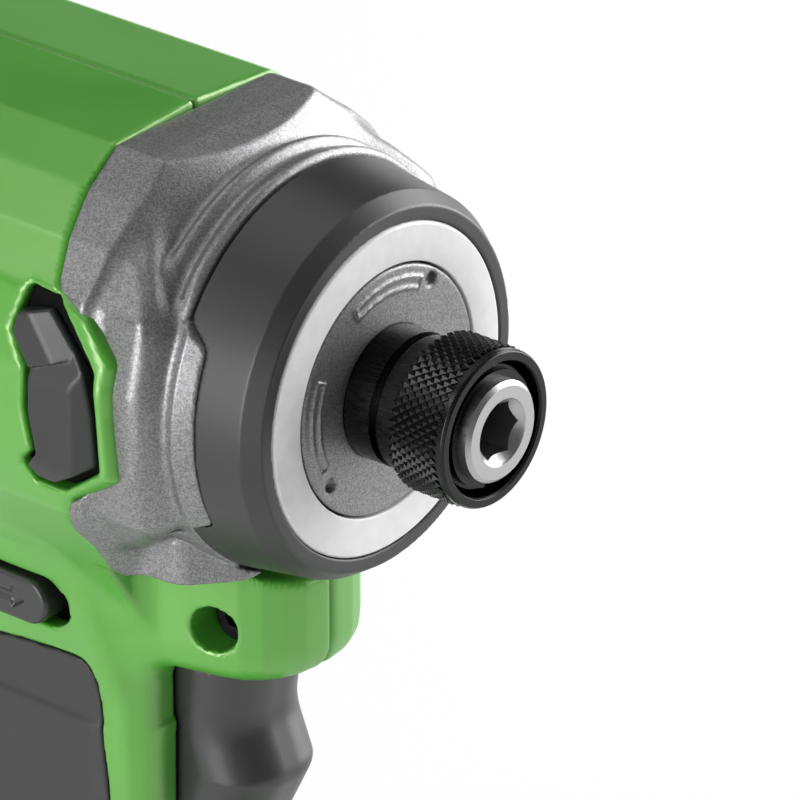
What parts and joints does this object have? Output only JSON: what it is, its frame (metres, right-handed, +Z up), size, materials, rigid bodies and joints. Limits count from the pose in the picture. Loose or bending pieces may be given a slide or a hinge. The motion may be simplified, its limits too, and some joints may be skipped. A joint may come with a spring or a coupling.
{
  "type": "cordless impact driver",
  "caption": "Pistol-grip cordless impact driver with a quick-release hex bit holder, a ring light, a rubber nose bumper and a slide-on battery pack.",
  "frame": {"origin": "middle of the battery pack's flat base, which the tool stands on", "axes": "+X forward along the spindle, out of the bit socket; +Z up; +Y to the tool's left"},
  "size_m": [0.136, 0.075, 0.2252],
  "materials": {
    "green_plastic": "fine moulded texture",
    "green_button": "fine moulded texture",
    "soft_rubber": "matt moulded elastomer",
    "dark_plastic": "fine moulded texture",
    "black_plastic": "fine moulded texture",
    "cast_case": "cast, coated in speckled silver grey",
    "zinc_steel": "zinc plated",
    "bright_steel": "ground",
    "dark_steel": "as hardened",
    "black_steel": "black oxide, knurled",
    "bronze": "machined",
    "copper": "drawn",
    "light_diffuser": "translucent white",
    "circuit_board": "lacquered",
    "cell_sleeve": "shrink sleeve",
    "lead_yellow": "insulated lead",
    "lead_red": "insulated lead"
  },
  "bodies": {
    "housing": {"housing_right": "green_plastic", "housing_left": "green_plastic", "grip_right": "soft_rubber", "grip_left": "soft_rubber", "housing_screws": "zinc_steel", "vent_louvre_right": "dark_plastic", "vent_louvre_left": "dark_plastic", "hammer_case": "cast_case", "case_screws": "zinc_steel", "nose_bumper": "soft_rubber", "light_ring": "light_diffuser", "light_board": "circuit_board", "anvil_bushing": "black_steel", "anvil_washer": "bronze", "ring_gear": "dark_steel", "gear_cover": "dark_plastic", "spindle_bearing": "bright_steel", "front_bearing": "bright_steel", "rear_bearing": "bright_steel", "stator": "dark_steel", "windings": "copper", "sensor_board": "circuit_board", "motor_leads": "lead_yellow", "power_leads": "lead_red", "switch_body": "dark_plastic", "trigger_spring": "bright_steel", "control_module": "dark_plastic", "terminal_block": "dark_plastic", "thread_inserts": "bronze"},
    "anvil": {"anvil": "bright_steel", "collar_spring": "bright_steel", "collar_washer": "black_steel", "collar_clip": "black_steel"},
    "collar": {"bit_collar": "black_steel"},
    "upper_ball": {"detent_ball_upper": "bright_steel"},
    "lower_ball": {"detent_ball_lower": "bright_steel"},
    "spindle": {"cam_spindle": "bright_steel", "planet_pins": "bright_steel", "hammer_spring": "dark_steel"},
    "cam": {"cam_balls": "bright_steel"},
    "hammer": {"hammer": "dark_steel", "spring_washer": "bright_steel"},
    "planet_1": {"planet_gear_1": "bright_steel"},
    "planet_2": {"planet_gear_2": "bright_steel"},
    "planet_3": {"planet_gear_3": "bright_steel"},
    "rotor": {"rotor": "dark_steel", "sun_pinion": "bright_steel", "motor_fan": "dark_plastic"},
    "trigger": {"trigger": "dark_plastic"},
    "selector": {"selector_bar": "dark_plastic"},
    "pack": {"pack_upper_case": "black_plastic", "pack_lower_case": "black_plastic", "pack_cells": "cell_sleeve", "pack_board": "circuit_board", "pack_contacts": "copper", "pack_screws": "zinc_steel", "latch_spring": "bright_steel"},
    "latch": {"latch_button": "green_button"},
    "gauge": {"gauge_button": "dark_plastic"}
  },
  "joints": [
    {"name": "spindle_spin", "type": "hinge", "parent": "housing", "child": "spindle", "pos_m": [0, 0, 0.196], "axis": [1, 0, 0], "continuous": true},
    {"name": "anvil_spin", "type": "hinge", "parent": "housing", "child": "anvil", "pos_m": [0, 0, 0.196], "axis": [1, 0, 0], "continuous": true},
    {"name": "rotor_spin", "type": "hinge", "parent": "housing", "child": "rotor", "pos_m": [0, 0, 0.196], "axis": [1, 0, 0], "continuous": true},
    {"name": "planet_1_spin", "type": "hinge", "parent": "spindle", "child": "planet_1", "pos_m": [0, 0.0105, 0.196], "axis": [1, 0, 0], "continuous": true},
    {"name": "planet_2_spin", "type": "hinge", "parent": "spindle", "child": "planet_2", "pos_m": [0, -0.00525, 0.20509], "axis": [1, 0, 0], "continuous": true},
    {"name": "planet_3_spin", "type": "hinge", "parent": "spindle", "child": "planet_3", "pos_m": [0, -0.00525, 0.18691], "axis": [1, 0, 0], "continuous": true},
    {"name": "cam_turn", "type": "hinge", "parent": "spindle", "child": "cam", "pos_m": [0, 0, 0.196], "axis": [1, 0, 0], "range_deg": [-45, 0]},
    {"name": "hammer_slide", "type": "slide", "parent": "cam", "child": "hammer", "axis": [-1, 0, 0], "range_m": [0, 0.0085], "stiffness_N_per_m": 4000, "springref_m": -0.004, "deforming": ["hammer_spring"]},
    {"name": "collar_slide", "type": "slide", "parent": "anvil", "child": "collar", "axis": [1, 0, 0], "range_m": [0, 0.003], "stiffness_N_per_m": 1000, "springref_m": -0.002, "deforming": ["collar_spring"]},
    {"name": "upper_ball_lift", "type": "slide", "parent": "anvil", "child": "upper_ball", "axis": [0, 0, 1], "range_m": [0, 0.0005]},
    {"name": "lower_ball_lift", "type": "slide", "parent": "anvil", "child": "lower_ball", "axis": [0, 0, -1], "range_m": [0, 0.0005]},
    {"name": "trigger_pull", "type": "slide", "parent": "housing", "child": "trigger", "axis": [-1, 0, 0], "range_m": [0, 0.006], "stiffness_N_per_m": 900, "springref_m": -0.003, "deforming": ["trigger_spring"]},
    {"name": "selector_push", "type": "slide", "parent": "housing", "child": "selector", "axis": [0, 1, 0], "range_m": [-0.0032, 0.0032]},
    {"name": "pack_slide", "type": "slide", "parent": "housing", "child": "pack", "axis": [1, 0, 0], "range_m": [0, 0.085]},
    {"name": "latch_press", "type": "slide", "parent": "pack", "child": "latch", "axis": [0, 0, -1], "range_m": [0, 0.0035], "stiffness_N_per_m": 800, "springref_m": -0.002, "deforming": ["latch_spring"]},
    {"name": "gauge_press", "type": "slide", "parent": "pack", "child": "gauge", "axis": [-1, 0, 0], "range_m": [0, 0.0008], "stiffness_N_per_m": 300, "springref_m": -0.001}
  ],
  "couplings": [
    {"joint": "anvil_spin", "follows": "spindle_spin", "ratio": 1},
    {"joint": "rotor_spin", "follows": "spindle_spin", "ratio": 6.6667},
    {"joint": "planet_1_spin", "follows": "spindle_spin", "ratio": -2.4286},
    {"joint": "planet_2_spin", "follows": "spindle_spin", "ratio": -2.4286},
    {"joint": "planet_3_spin", "follows": "spindle_spin", "ratio": -2.4286},
    {"joint": "cam_turn", "follows": "hammer_slide", "rad_per_m": -92.39},
    {"joint": "upper_ball_lift", "follows": "collar_slide", "ratio": 0.16},
    {"joint": "lower_ball_lift", "follows": "collar_slide", "ratio": 0.16}
  ]
}
